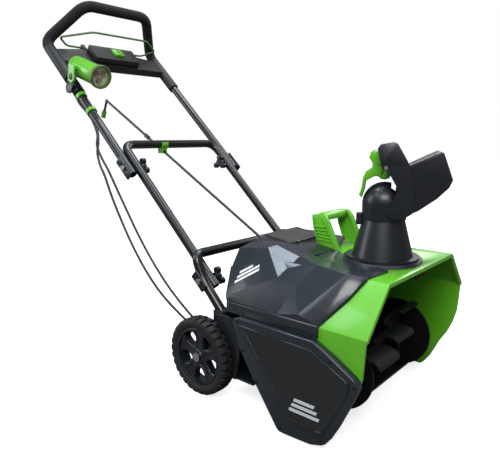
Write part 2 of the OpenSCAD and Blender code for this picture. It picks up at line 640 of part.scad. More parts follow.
// ---- headlight ----
light_back = [-950, -200, 846];
light_tilt = 18.5;
light_pivot = [-915, 808];
module light_frame() translate(light_back) rotate([0, 90 + light_tilt, 0]) children();
module headlight_bracket() placed() color(black) difference() {
    union() {
        in_handle(344) translate([-24, -outer_y, 0]) rotate([0, 90, 0]) cylinder(h = 48, r = 18, $fn = 48);
        slab(-237, -231.6) hull() {
            translate(light_pivot) circle(r = 13, $fn = 32);
            translate([-943, 778]) circle(r = 16, $fn = 32);
        }
        translate([-957, -237, 766]) cube([28, 14, 22]);
        // tilt screw
        cyl_y(light_pivot[0], -241, -231.6, light_pivot[1], 4);
        cyl_y(light_pivot[0], -246, -241, light_pivot[1], 8);
    }
    in_handle(0) collar(-300, 900, tube_r + 0.02);
}
module headlight_body() placed() color(green) {
    light_frame() difference() {
        union() {
            cylinder(h = 112, r = 30.5, $fn = 64);
            translate([0, 0, 112]) cylinder(h = 16, r1 = 30.5, r2 = 34.5, $fn = 64);
        }
        translate([0, 0, 4]) cylinder(h = 140, r = 27.5, $fn = 64);
    }
    difference() {
        union() {
            cyl_y(light_pivot[0], -244, -237.2, light_pivot[1], 17, 64);
            slab(-244, -237.2) polygon([[-930, 812], [-900, 812], [-894, 838], [-924, 848]]);
            slab(-238, -228) polygon([[-920, 832], [-896, 830], [-894, 838], [-924, 848]]);
        }
        cyl_y(light_pivot[0], -260, -200, light_pivot[1], 4.05);
        cyl_y(light_pivot[0], -260, -241, light_pivot[1], 9);
        light_frame() cylinder(h = 112, r = 27.5, $fn = 64);
        light_frame() cylinder(h = 112, r = 30.4, $fn = 64);
    }
}
module headlight_bezel() placed() color("#6d7a3a") light_frame() translate([0, 0, 128]) difference() {
    cylinder(h = 9, r = 34.5, $fn = 64);
    translate([0, 0, -1]) cylinder(h = 11, r = 28, $fn = 64);
}
module headlight_lens() placed() color("#dfe8ea") light_frame() translate([0, 0, 126])
    difference() {
        cylinder(h = 5, r = 27.4, $fn = 64);
        for (a = [-40, 90, 220]) rotate([0, 0, a]) translate([13, 0, -1]) cylinder(h = 4, r = 6, $fn = 32);
    }
module headlight_leds() placed() color("#3a3c40") light_frame() translate([0, 0, 116])
    for (a = [-40, 90, 220]) rotate([0, 0, a]) translate([13, 0, 0]) cylinder(h = 9, r = 5, $fn = 32);

// ---- cables ----
// Two leads from the switch box, clipped to the right-hand tube, then hanging to the chassis
cable_r = 3.4;
lead_a = [[-1046, -150, 838], [-1020, -168, 806], [-985, -186, 770], [-940, -194, 726], [-890, -196, 684],
    [-850, -205, 640], [-815, -230, 605], [-780, -240, 572], [-745, -242, 536]];
lead_b = [[-1036, -158, 824], [-1004, -182, 778], [-962, -193, 737], [-915, -189, 697], [-868, -193, 653],
    [-832, -214, 615], [-806, -236, 586], [-776, -248, 550], [-752, -250, 520]];
drop_a = [[-744, -242, 534.7], [-705, -243, 484], [-660, -243, 424], [-612, -243, 362], [-560, -241, 300],
    [-505, -238, 244], [-450, -234, 198], [-395, -231, 162], [-350, -231, 140], [-312, -231, 132]];
drop_b = [[-751.3, -250, 518.8], [-722, -251, 466], [-684, -251, 406], [-640, -250, 342], [-588, -248, 278],
    [-528, -244, 220], [-464, -236, 174], [-400, -230, 140], [-350, -229, 122], [-312, -231, 119]];
module lead(pts) bar(pts, cable_r, 10, [0.2, 1, 0.3]);
module cable_upper() placed() color(black) {
    lead(lead_a);
    lead(lead_b);
}
module cable_lower() placed() color(black) {
    lead(drop_a);
    lead(drop_b);
}
module cable_clips() placed() color(green) in_handle(0) difference() {
    for (x = [232, 300]) translate([x, -outer_y, 0]) rotate([0, 90, 0]) cylinder(h = 12, r = 16, $fn = 48);
    collar(-300, 900, tube_r + 0.02);
}

auger_housing();
scraper_bar();
side_cover();
side_cover_panel();
left_bearing_cap();
motor_shroud();
battery_bay();
battery_door();
battery_pack();
pack_release_button();
chassis();
wheel_axle();
tyre_right();
hub_right();
tyre_left();
hub_left();
motor_case();
motor_rotor();
driven_pulley();
drive_belt();
controller_board();
auger_shaft();
auger_core();
auger_paddles();
auger_bearings();
carry_handle();
chute_base();
chute_tube();
chute_worm();
worm_bearings();
crank_rod();
crank_grip();
rod_clip();
deflector();
deflector_trigger();
trigger_pin();
deflector_pins();
lower_frame();
middle_frame();
upper_frame();
foam_grip();
frame_saddles();
frame_bolts();
fold_saddles();
knob_fold_right();
knob_fold_left();
knob_clamp_right();
knob_clamp_left();
control_crossbar();
switch_box();
start_button();
bail();
headlight_bracket();
headlight_body();
headlight_bezel();
headlight_lens();
headlight_leds();
cable_clips();
cable_upper();
cable_lower();
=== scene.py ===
import bpy
import bmesh
import math
from mathutils import Matrix, Vector


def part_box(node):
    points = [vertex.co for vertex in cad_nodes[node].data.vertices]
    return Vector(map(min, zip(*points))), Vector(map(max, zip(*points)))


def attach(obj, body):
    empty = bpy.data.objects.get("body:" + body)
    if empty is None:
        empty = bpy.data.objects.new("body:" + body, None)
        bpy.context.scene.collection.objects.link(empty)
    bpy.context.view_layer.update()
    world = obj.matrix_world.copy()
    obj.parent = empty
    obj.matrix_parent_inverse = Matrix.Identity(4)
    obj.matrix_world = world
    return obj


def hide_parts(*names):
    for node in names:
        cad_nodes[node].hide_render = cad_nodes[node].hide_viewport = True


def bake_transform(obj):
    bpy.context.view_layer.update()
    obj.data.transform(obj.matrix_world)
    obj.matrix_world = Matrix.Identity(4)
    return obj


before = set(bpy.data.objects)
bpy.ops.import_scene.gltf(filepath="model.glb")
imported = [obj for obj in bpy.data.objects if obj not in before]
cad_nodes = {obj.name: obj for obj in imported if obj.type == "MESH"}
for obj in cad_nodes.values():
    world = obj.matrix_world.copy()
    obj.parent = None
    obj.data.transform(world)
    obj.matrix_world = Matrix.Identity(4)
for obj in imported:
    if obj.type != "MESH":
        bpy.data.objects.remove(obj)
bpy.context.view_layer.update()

scene = bpy.context.scene

# ---------------------------------------------------------------- frame of the part
ORIGIN_X = 0.487      # ground contact of the side plates to the middle of the machine
AUGER = Vector((ORIGIN_X - 0.028, 0, 0.12))


def at(x, y, z):
    """A point given from the ground contact of the side plates, in millimetres."""
    return Vector((ORIGIN_X + x / 1000, y / 1000, z / 1000))


# ---------------------------------------------------------------- camera
CAMERA_PLACE = (ORIGIN_X + 0.513, -1.0772, 0.6311)
CAMERA_DIP = 9.91         # degrees below the level
CAMERA_TURN = 40.81       # degrees to the left of square to the side
CAMERA_LENS = 36.37
SENSOR_WIDTH = 36.0


def make_camera():
    data = bpy.data.cameras.new("camera")
    data.sensor_width = SENSOR_WIDTH
    data.lens = CAMERA_LENS
    cam = bpy.data.objects.new("camera", data)
    cam.location = CAMERA_PLACE
    cam.rotation_euler = (math.radians(90 - CAMERA_DIP), 0, math.radians(CAMERA_TURN))
    scene.collection.objects.link(cam)
    scene.camera = cam


# ---------------------------------------------------------------- light
# Name, place, the point that it faces, size, watts, tint
LIGHTS = (
    ("key", (1.5, -2.2, 2.4), (0.3, 0, 0.3), (1.8, 1.2), 62, (1, 1, 1)),
    ("left_fill", (-2.4, -1.8, 1.5), (0, 0, 0.5), (1.2, 1.8), 26, (0.9, 0.95, 1.0)),
    ("top_strip", (0.2, 0.6, 2.8), (0.2, 0, 0.3), (2.4, 0.8), 34, (1, 1, 1)),
    ("back_rim", (0.2, 2.6, 1.8), (0, 0, 0.5), (2.0, 1.0), 22, (1, 1, 1)),
    ("facet_gleam", (-0.31, -0.29, 2.25), (0.31, -0.17, 0.358), (0.36, 0.36), 6, (0.72, 0.85, 1.0)),
    ("band_gleam", (-0.2, -1.32, 1.85), (0.46, -0.22, 0.31), (0.6, 0.6), 5, (0.8, 0.88, 1.0)),
)
# Height in the surround, from 0 straight down to 1 straight up, and the light that comes from there
SURROUND = ((0.32, (0.10, 0.10, 0.10)), (0.56, (0.20, 0.20, 0.21)),
            (0.90, (0.26, 0.28, 0.31)), (0.97, (1.15, 1.25, 1.40)))
FLOOR_REACH = 12.0
FLOOR_GLOW = 0.74                     # what the camera sees of the floor, on top of the light on it
FLOOR_BOUNCE = (0.16, 0.155, 0.15)    # the floor's colour in the light that it gives the object


def area_light(name, place, target, size, watts, tint):
    data = bpy.data.lights.new(name, "AREA")
    data.shape = "RECTANGLE"
    data.size, data.size_y = size
    data.energy = watts
    data.color = tint
    lamp = bpy.data.objects.new(name, data)
    lamp.location = place
    lamp.rotation_euler = (Vector(target) - Vector(place)).to_track_quat("-Z", "Y").to_euler()
    scene.collection.objects.link(lamp)


def camera_sees(tree, seen, others, output):
    """Shows the camera one shader and every other ray another."""
    path = tree.nodes.new("ShaderNodeLightPath")
    choose = tree.nodes.new("ShaderNodeMixShader")
    tree.links.new(path.outputs["Is Camera Ray"], choose.inputs[0])
    tree.links.new(others, choose.inputs[1])
    tree.links.new(seen, choose.inputs[2])
    tree.links.new(choose.outputs["Shader"], output.inputs["Surface"])


def make_studio():
    """A white surround for the camera that lights the object only softly."""
    world = bpy.data.worlds.new("studio")
    world.use_nodes = True
    nodes, links = world.node_tree.nodes, world.node_tree.links
    lit = nodes["Background"]
    seen = nodes.new("ShaderNodeBackground")
    seen.inputs["Color"].default_value = (1, 1, 1, 1)
    place = nodes.new("ShaderNodeTexCoord")
    split = nodes.new("ShaderNodeSeparateXYZ")
    height = nodes.new("ShaderNodeMapRange")
    height.inputs["From Min"].default_value = -1.0
    ramp = nodes.new("ShaderNodeValToRGB")
    stops = ramp.color_ramp.elements
    stops[0].position, stops[1].position = SURROUND[0][0], SURROUND[-1][0]
    for position, colour in SURROUND[1:-1]:
        stops.new(position)
    for stop, (position, colour) in zip(stops, SURROUND):
        stop.color = (*colour, 1)
    links.new(place.outputs["Generated"], split.inputs["Vector"])
    links.new(split.outputs["Z"], height.inputs["Value"])
    links.new(height.outputs["Result"], ramp.inputs["Fac"])
    links.new(ramp.outputs["Color"], lit.inputs["Color"])
    camera_sees(world.node_tree, seen.outputs["Background"], lit.outputs["Background"], nodes["World Output"])
    scene.world = world
    scene.view_settings.view_transform = "Standard"
    for light in LIGHTS:
        area_light(*light)


def make_floor():
    """A plain pale floor that meets the white surround without an edge."""
    mesh = bpy.data.meshes.new("floor")
    corners = [(-FLOOR_REACH, -FLOOR_REACH, 0), (FLOOR_REACH, -FLOOR_REACH, 0),
               (FLOOR_REACH, FLOOR_REACH, 0), (-FLOOR_REACH, FLOOR_REACH, 0)]
    mesh.from_pydata(corners, [], [(0, 1, 2, 3)])
    mat = plain_material("pale_floor", (0.80, 0.80, 0.80), 0.9)
    nodes = mat.node_tree.nodes
    shader = nodes["Principled BSDF"]
    shader.inputs["Emission Color"].default_value = (1, 1, 1, 1)
    shader.inputs["Emission Strength"].default_value = FLOOR_GLOW
    dim = nodes.new("ShaderNodeBsdfDiffuse")
    dim.inputs["Color"].default_value = (*FLOOR_BOUNCE, 1)
    camera_sees(mat.node_tree, shader.outputs["BSDF"], dim.outputs["BSDF"], nodes["Material Output"])
    mesh.materials.append(mat)
    floor = bpy.data.objects.new("floor", mesh)
    scene.collection.objects.link(floor)


# ---------------------------------------------------------------- materials
def plain_material(name, colour, roughness):
    mat = bpy.data.materials.new(name)
    mat.use_nodes = True
    shader = mat.node_tree.nodes["Principled BSDF"]
    shader.inputs["Base Color"].default_value = (*colour, 1)
    shader.inputs["Roughness"].default_value = roughness
    return mat


def clear_material(name, colour, roughness, alpha):
    mat = plain_material(name, colour, roughness)
    shader = mat.node_tree.nodes["Principled BSDF"]
    shader.inputs["Transmission Weight"].default_value = 1.0
    shader.inputs["Alpha"].default_value = alpha
    return mat


WORN = (0.5, 0.5, 0.5)          # bare metal
WORN_FROM, WORN_TO = 0.53, 0.62  # pointiness of an edge that begins to wear, and of one worn bare


def finish(name, colour, roughness, vary=0.12, grain=900.0, bump=0.15, depth=0.0002, metal=0.0,
           coat=0.0, wear=0.0, spread=0.06):
    """A plastic, paint, rubber or metal with colour drift and fine grain, and edges worn by wear."""
    mat = bpy.data.materials.new(name)
    mat.use_nodes = True
    nodes, links = mat.node_tree.nodes, mat.node_tree.links
    shader = nodes["Principled BSDF"]
    shader.inputs["Metallic"].default_value = metal
    if coat:
        shader.inputs["Coat Weight"].default_value = coat
        shader.inputs["Coat Roughness"].default_value = 0.08
    place = nodes.new("ShaderNodeTexCoord")

    def noise(scale, detail):
        node = nodes.new("ShaderNodeTexNoise")
        node.inputs["Scale"].default_value = scale
        node.inputs["Detail"].default_value = detail
        links.new(place.outputs["Object"], node.inputs["Vector"])
        return node

    # colour that drifts a little over the surface
    drift = noise(9.0, 4.0)
    shade = nodes.new("ShaderNodeMapRange")
    shade.inputs["To Min"].default_value = 1.0 - vary
    shade.inputs["To Max"].default_value = 1.0 + vary
    links.new(drift.outputs["Fac"], shade.inputs["Value"])
    tint = nodes.new("ShaderNodeHueSaturation")
    tint.inputs["Color"].default_value = (*colour, 1)
    links.new(shade.outputs["Result"], tint.inputs["Value"])
    colour_out = tint.outputs["Color"]
    if wear:
        # bare colour showing along the outer edges, broken up by scratches
        geometry = nodes.new("ShaderNodeNewGeometry")
        edge = nodes.new("ShaderNodeMapRange")
        edge.inputs["From Min"].default_value = WORN_FROM
        edge.inputs["From Max"].default_value = WORN_TO
        links.new(geometry.outputs["Pointiness"], edge.inputs["Value"])
        scratch = noise(140.0, 6.0)
        product = nodes.new("ShaderNodeMath")
        product.operation = "MULTIPLY"
        links.new(edge.outputs["Result"], product.inputs[0])
        links.new(scratch.outputs["Fac"], product.inputs[1])
        amount = nodes.new("ShaderNodeMath")
        amount.operation = "MULTIPLY"
        amount.inputs[1].default_value = wear
        links.new(product.outputs["Value"], amount.inputs[0])
        blend = nodes.new("ShaderNodeMix")
        blend.data_type = "RGBA"
        blend.inputs[7].default_value = (*WORN, 1)
        links.new(amount.outputs["Value"], blend.inputs[0])
        links.new(colour_out, blend.inputs[6])
        colour_out = blend.outputs[2]
    links.new(colour_out, shader.inputs["Base Color"])
    # gloss that varies as handled plastic does
    smear = noise(26.0, 5.0)
    rough = nodes.new("ShaderNodeMapRange")
    rough.inputs["To Min"].default_value = max(0.02, roughness - spread)
    rough.inputs["To Max"].default_value = min(1.0, roughness + spread)
    links.new(smear.outputs["Fac"], rough.inputs["Value"])
    links.new(rough.outputs["Result"], shader.inputs["Roughness"])
    # fine moulded grain
    fine = noise(grain, 3.0)
    relief = nodes.new("ShaderNodeBump")
    relief.inputs["Strength"].default_value = bump
    relief.inputs["Distance"].default_value = depth
    links.new(fine.outputs["Fac"], relief.inputs["Height"])
    links.new(relief.outputs["Normal"], shader.inputs["Normal"])
    return mat


LIME = finish("lime_plastic", (0.13, 0.50, 0.02), 0.26, vary=0.06, grain=1400, bump=0.06, coat=0.3,
              spread=0.05)
CHARCOAL = finish("charcoal_plastic", (0.014, 0.019, 0.025), 0.27, vary=0.1, grain=1600, bump=0.08,
                  coat=0.25)
BLACK = finish("black_plastic", (0.007, 0.009, 0.0125), 0.37, vary=0.15, grain=1700, bump=0.2, coat=0.15,
               spread=0.08)
PANEL = finish("gloss_panel", (0.006, 0.0075, 0.008), 0.12, vary=0.08, grain=400, bump=0.02, coat=0.6,
               spread=0.03)
SMOKED = finish("smoked_cover", (0.045, 0.038, 0.033), 0.16, vary=0.12, grain=500, bump=0.03, coat=0.5,
                spread=0.05)
MATTE = finish("matte_control_plastic", (0.011, 0.0115, 0.0125), 0.55, vary=0.12, grain=1500, bump=0.35,
               depth=0.0003)
STEEL = finish("zinc_steel", (0.52, 0.53, 0.54), 0.32, vary=0.08, grain=700, bump=0.1, metal=1.0)
DARK_METAL = finish("dark_metal", (0.012, 0.012, 0.013), 0.5, vary=0.15, grain=900, bump=0.2, metal=0.6)
SCRAPER = finish("scraper_steel", (0.03, 0.031, 0.033), 0.45, vary=0.15, bump=0.3, metal=0.3, wear=1.2)
RUBBER = finish("black_rubber", (0.005, 0.005, 0.006), 0.62, vary=0.2, grain=1200, bump=0.4, depth=0.0003)
TYRE = finish("tyre_rubber", (0.009, 0.009, 0.0095), 0.7, vary=0.25, grain=900, bump=0.5, depth=0.0004)
PAINT = finish("black_painted_tube", (0.005, 0.0055, 0.006), 0.28, vary=0.15, grain=1100, bump=0.12,
               coat=0.25)
FOAM = finish("foam", (0.009, 0.0095, 0.0105), 0.9, vary=0.25, grain=1500, bump=1.0, depth=0.0007)
BAIL_PAINT = finish("green_bail", (0.085, 0.165, 0.045), 0.35, vary=0.12, grain=900, bump=0.1)
BEZEL = finish("bezel_plastic", (0.11, 0.15, 0.045), 0.3, vary=0.1, bump=0.05)
BOARD = finish("circuit_board", (0.02, 0.12, 0.04), 0.4, vary=0.2, bump=0.1)
LED = finish("led_dark", (0.02, 0.02, 0.022), 0.2, vary=0.1, bump=0.05)
CABLE = finish("cable_rubber", (0.009, 0.009, 0.01), 0.42, vary=0.15, grain=800, bump=0.1)
SILVER = finish("silver_print", (0.62, 0.64, 0.66), 0.4, vary=0.05, bump=0.05)
WHITE = finish("white_print", (0.75, 0.76, 0.77), 0.45, vary=0.05, bump=0.05)
DISH = finish("light_reflector", (0.90, 0.88, 0.68), 0.5, vary=0.05, bump=0.03)
CUP = finish("light_cup", (0.36, 0.27, 0.21), 0.4, vary=0.15, bump=0.05)
LENS = clear_material("clear_lens", (0.95, 0.97, 0.93), 0.04, 0.12)

CAD_FINISH = (
    (LIME, ("auger_housing", "carry_handle", "pack_release_button", "start_button", "deflector_trigger",
            "crank_grip", "rod_clip", "headlight_body", "cable_clips")),
    (CHARCOAL, ("motor_shroud", "side_cover")),
    (PANEL, ("side_cover_panel",)),
    (SMOKED, ("battery_door",)),
    (BLACK, ("left_bearing_cap", "chassis", "chute_base", "chute_tube", "deflector", "deflector_pins",
             "frame_saddles", "fold_saddles", "knob_fold_right", "knob_fold_left", "knob_clamp_right",
             "knob_clamp_left", "headlight_bracket", "hub_right", "hub_left", "battery_bay",
             "worm_bearings")),
    (MATTE, ("battery_pack", "control_crossbar", "switch_box")),
    (STEEL, ("wheel_axle", "auger_shaft", "frame_bolts", "trigger_pin", "motor_case", "motor_rotor",
             "auger_bearings")),
    (SCRAPER, ("scraper_bar",)),
    (RUBBER, ("auger_paddles", "drive_belt")),
    (TYRE, ("tyre_right", "tyre_left")),
    (PAINT, ("lower_frame", "middle_frame", "upper_frame", "crank_rod")),
    (FOAM, ("foam_grip",)),
    (BAIL_PAINT, ("bail",)),
    (BEZEL, ("headlight_bezel",)),
    (LED, ("headlight_lens", "headlight_leds")),
    (DARK_METAL, ("driven_pulley", "auger_core", "chute_worm")),
    (BOARD, ("controller_board",)),
    (CABLE, ("cable_upper", "cable_lower")),
)


def dress_cad():
    for mat, names in CAD_FINISH:
        for name in names:
            materials = cad_nodes[name].data.materials
            materials.clear()
            materials.append(mat)


# ---------------------------------------------------------------- shape helpers
def round_path(points, reach, steps=8):
    """The corners of a path turned into smooth bends, as the tubes are bent."""
    out = [points[0]]
    for before, corner, after in zip(points, points[1:], points[2:]):
        start = corner + (before - corner).normalized() * reach
        end = corner + (after - corner).normalized() * reach
        for i in range(steps + 1):
            t = i / steps
            out.append((1 - t) ** 2 * start + 2 * t * (1 - t) * corner + t * t * end)
    out.append(points[-1])
    return out


def smooth_path(points, per_span=6):
    """A Catmull-Rom curve through the points of a lead."""
    out = []
    last = len(points) - 1
    for i in range(last):
        p0, p1 = points[max(i - 1, 0)], points[i]
        p2, p3 = points[i + 1], points[min(i + 2, last)]
        for k in range(per_span):
            t = k / per_span
            out.append(0.5 * ((2 * p1) + (p2 - p0) * t + (2 * p0 - 5 * p1 + 4 * p2 - p3) * t * t
                              + (3 * p1 - p0 - 3 * p2 + p3) * t ** 3))
    out.append(points[last])
    return out


def dense_path(path, step):
    """More points along a path, about one for each step."""
    out = []
    for a, b in zip(path, path[1:]):
        count = max(1, int((b - a).length / step))
        out += [a.lerp(b, k / count) for k in range(count)]
    out.append(path[-1])
    return out


def new_object(name, bm, mat, sharp=None):
    """A smooth object from a bmesh; sharp is the angle, in degrees, from which an edge stays crisp."""
    bmesh.ops.recalc_face_normals(bm, faces=bm.faces)
    mesh = bpy.data.meshes.new(name)
    bm.to_mesh(mesh)
    bm.free()
    mesh.materials.append(mat)
    for face in mesh.polygons:
        face.use_smooth = True
    if sharp:
        mesh.set_sharp_from_angle(angle=math.radians(sharp))
    piece = bpy.data.objects.new(name, mesh)
    scene.collection.objects.link(piece)
    return piece


def riding(name, bm, mat, body, sharp=40.0):
    piece = new_object(name, bm, mat, sharp)
    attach(piece, body)
    return piece


def stitch(bm, low, high):
    """Joins two closed rings of points with faces."""
    count = len(low)
    for k in range(count):
        m = (k + 1) % count
        bm.faces.new((low[k], low[m], high[m], high[k]))


def circle(bm, centre, u, v, radius, sides):
    """A ring of points round a centre, in the plane of u and v."""
    angles = (2 * math.pi * k / sides for k in range(sides))
    return [bm.verts.new(centre + (u * math.cos(a) + v * math.sin(a)) * radius) for a in angles]


def ring_frames(path):
    """A steady pair of cross directions along the path, carried from ring to ring."""
    last = len(path) - 1
    tangents = [(path[min(i + 1, last)] - path[max(i - 1, 0)]).normalized() for i in range(len(path))]
    side = tangents[0].orthogonal().normalized()
    frames = []
    for tangent in tangents:
        side = (side - tangent * side.dot(tangent)).normalized()
        frames.append((side, tangent.cross(side)))
    return frames


def sweep(path, radii, sides=28, wall=0.0):
    """A round bar along a path, or a tube where wall is given; radii is one number or one per point."""
    if not isinstance(radii, (list, tuple)):
        radii = [radii] * len(path)
    frames = ring_frames(path)
    bm = bmesh.new()

    def skin(offset):
        rings = [circle(bm, point, u, v, radius - offset, sides)
                 for point, (u, v), radius in zip(path, frames, radii)]
        for low, high in zip(rings, rings[1:]):
            stitch(bm, low, high)
        return rings

    outer = skin(0.0)
    if wall:
        inner = skin(wall)
        stitch(bm, outer[0], inner[0])
        stitch(bm, outer[-1], inner[-1])
    else:
        bm.faces.new(outer[0])
        bm.faces.new(outer[-1])
    return bm


def swept(name, path, radii, mat, body, sides=28, wall=0.0):
    return riding(name, sweep(path, radii, sides, wall), mat, body, 50.0)


def turned(name, profile, mat, body, centre, axis, sides=64):
    """A profile of (distance along the axis, radius) turned round the axis."""
    u = axis.orthogonal().normalized()
    v = axis.cross(u)
    bm = bmesh.new()
    rings = [circle(bm, centre + axis * along, u, v, radius, sides) for along, radius in profile]
    for low, high in zip(rings, rings[1:]):
        stitch(bm, low, high)
    bm.faces.new(rings[0])
    bm.faces.new(rings[-1])
    return riding(name, bm, mat, body, 35.0)


def plate(name, outline, thickness, place, mat, body, bevel=0.0):
    """A flat outline, in metres, made into a plate along its own z and put in place by a matrix."""
    bm = bmesh.new()
    low = [bm.verts.new((x, y, 0)) for x, y in outline]
    high = [bm.verts.new((x, y, thickness)) for x, y in outline]
    bm.faces.new(low)
    bm.faces.new(high)
    stitch(bm, low, high)
    bmesh.ops.recalc_face_normals(bm, faces=bm.faces)
    if bevel:
        bmesh.ops.bevel(bm, geom=bm.edges[:], offset=bevel, segments=2, affect="EDGES", profile=0.5)
    bmesh.ops.transform(bm, matrix=place, verts=bm.verts)
    return riding(name, bm, mat, body, 35.0)


def facing_right(x, y, z):
    """Puts a flat outline, drawn in x and z, on a face that looks to the right of the machine."""
    return Matrix.Translation(at(x, y, z)) @ Matrix.Rotation(math.radians(90), 4, "X")


def on_facet(corner, along, up, lift):
    """Puts a flat outline just over a facet: its x runs along one edge, its y up the facet."""
    x_axis = along.normalized()
    normal = x_axis.cross(up).normalized()
    axes = Matrix((x_axis, normal.cross(x_axis), normal)).transposed().to_4x4()
    return Matrix.Translation(corner + normal * lift) @ axes


# ---------------------------------------------------------------- edges of the CAD nodes
WELD_REACH = 0.00002
BEVEL_FROM = 28.0      # degrees
EDGE_WIDTHS = (
    (0.0004, ("scraper_bar",)),
    (0.0008, ("worm_bearings",)),
    (0.0010, ("pack_release_button", "battery_bay")),
    (0.0012, ("battery_door", "carry_handle", "chute_base", "chassis", "auger_paddles", "headlight_bezel",
              "headlight_body", "rod_clip")),
    (0.0014, ("auger_housing",)),
    (0.0015, ("battery_pack", "headlight_bracket")),
    (0.0016, ("side_cover_panel",)),
    (0.0018, ("deflector",)),
    (0.0020, ("start_button", "frame_saddles")),
    (0.0022, ("motor_shroud", "knob_fold_right", "knob_fold_left", "knob_clamp_right", "knob_clamp_left")),
    (0.0025, ("deflector_trigger", "fold_saddles")),
    (0.0030, ("control_crossbar",)),
    (0.0035, ("side_cover",)),
    (0.0040, ("switch_box",)),
)
ROUND_NODES = (
    "chute_tube", "crank_rod", "crank_grip", "wheel_axle", "auger_core", "auger_shaft", "auger_bearings",
    "motor_case", "motor_rotor", "driven_pulley", "drive_belt", "chute_worm", "trigger_pin",
    "deflector_pins", "frame_bolts", "cable_clips", "left_bearing_cap",
)


def smooth_cad(name):
    mesh = cad_nodes[name].data
    for face in mesh.polygons:
        face.use_smooth = True
    mesh.set_sharp_from_angle(angle=math.radians(40.0))


def bevel_cad(name, width):
    piece = cad_nodes[name]
    weld = piece.modifiers.new("weld", "WELD")
    weld.merge_threshold = WELD_REACH
    edge = piece.modifiers.new("edges", "BEVEL")
    edge.width = width
    edge.segments = 2
    edge.limit_method = "ANGLE"
    edge.angle_limit = math.radians(BEVEL_FROM)
    smooth_cad(name)


def make_edges():
    for width, names in EDGE_WIDTHS:
        for name in names:
            bevel_cad(name, width)
    for name in ROUND_NODES:
        smooth_cad(name)


# ---------------------------------------------------------------- tyres
TYRE_LOW, TYRE_HIGH = (Vector(corner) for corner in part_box("tyre_left"))
WHEEL_CENTRE = Vector(((TYRE_LOW.x + TYRE_HIGH.x) / 2, 0, (TYRE_LOW.z + TYRE_HIGH.z) / 2))
WHEEL_Y = (TYRE_LOW.y + TYRE_HIGH.y) / 2       # middle of a tyre
TYRE_W = TYRE_HIGH.y - TYRE_LOW.y
WHEEL_R = (TYRE_HIGH.z - TYRE_LOW.z) / 2
BEAD_R = 0.0722           # where the tyre meets the rim
TREAD_R = 0.096           # the radius that the profile below is drawn at
TREAD_GROWTH = WHEEL_R - TREAD_R
SIDEWALL = 0.012          # height over which the growth comes in
TYRE_STEPS = 416
LUGS = 30
GROOVE_SHARE, LUG_EDGE = 0.14, 0.05   # of one lug's pitch: half the groove, the slope beside it
GROOVE_FROM = 0.087       # the tread's blocks begin here on the shoulder
GROOVE_FLOOR, GROOVE_RISE, GROOVE_DEPTH = 0.0865, 0.004, 0.0055
CENTRE_GROOVE = 0.04      # share of the half width
# Half of the tyre's section, from the bead to the middle: share of the half width, radius
HALF_TYRE = [(0.8, BEAD_R), (0.86, 0.074), (0.97, 0.0785), (1.0, 0.0825), (0.995, 0.086), (0.96, 0.0885),
             (0.93, 0.0905), (0.86, 0.093), (0.72, 0.0952), (0.5, 0.0958), (0.25, TREAD_R),
             (0.07, TREAD_R), (0.03, TREAD_R)]
TYRE_SECTION = [(-across, radius) for across, radius in HALF_TYRE] + [(0.0, TREAD_R)] + HALF_TYRE[::-1]


def lug_share(angle, row):
    """1 on a lug, 0 in the groove beside it, for one row of the tread."""
    turn = (angle / (2 * math.pi) * LUGS + 0.5 * row) % 1.0
    edge = min(turn, 1 - turn)
    return min(max((edge - GROOVE_SHARE) / LUG_EDGE, 0.0), 1.0)


def tread_radius(across, radius, angle):
    """The section's radius at one angle of the wheel, cut down in the grooves."""
    depth = 0.0
    if radius > GROOVE_FROM:
        lug = 0.0 if abs(across) < CENTRE_GROOVE else lug_share(angle, 0 if across < 0 else 1)
        depth = (1 - lug) * GROOVE_DEPTH * min(1.0, (radius - GROOVE_FLOOR) / GROOVE_RISE)
    return radius - depth + TREAD_GROWTH * min(1.0, (radius - BEAD_R) / SIDEWALL)


def make_tyre(side, label):
    bm = bmesh.new()
    rings = []
    for i in range(TYRE_STEPS):
        angle = 2 * math.pi * i / TYRE_STEPS
        ring = []
        for across, radius in TYRE_SECTION:
            r = tread_radius(across, radius, angle)
            y = side * WHEEL_Y + across * TYRE_W / 2
            ring.append(bm.verts.new(WHEEL_CENTRE + Vector((r * math.sin(angle), y, r * math.cos(angle)))))
        rings.append(ring)
    for i in range(TYRE_STEPS):
        stitch(bm, rings[i], rings[(i + 1) % TYRE_STEPS])
    piece = riding("tread_" + label, bm, TYRE, "wheel_" + label, 32.0)
    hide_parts("tyre_" + label)


# ---------------------------------------------------------------- hubs
HUB_FACE = 0.019          # outer face of a hub from the middle of its tyre
# Sections of the rim and the boss: radius, distance inward from the hub's face
RIM = [(0.0718, 0.001), (0.0718, 0.036), (0.0668, 0.036), (0.0645, 0.030), (0.0645, 0.006), (0.0665, 0.0),
       (0.070, 0.0)]
BOSS = [(0.0185, 0.004), (0.0185, 0.034), (0.0062, 0.034), (0.0062, 0.0115), (0.0125, 0.0115),
        (0.0125, 0.002), (0.0165, 0.002)]
SPOKES = 5
SPOKE_FROM, SPOKE_REACH = 0.0165, 0.0495
SPOKE_STATIONS = 15
SPOKE_W, SPOKE_FLARE = 0.0125, 0.0135          # half width at the waist, and what its ends add
BOSS_FLARE, RIM_FLARE = 0.5, 1.2               # share of the flare at either end
SPOKE_SINK, SPOKE_DISH = 0.0045, 0.004
# Section of a spoke: share of its half width, distance inward from its face
SPOKE_SECTION = ((-1, 0.0022), (-0.82, 0.0), (-0.45, 0.0), (-0.38, 0.0018), (0.38, 0.0018), (0.45, 0.0),
                 (0.82, 0.0), (1, 0.0022), (1, 0.020), (0.75, 0.021), (-0.75, 0.021), (-1, 0.020))


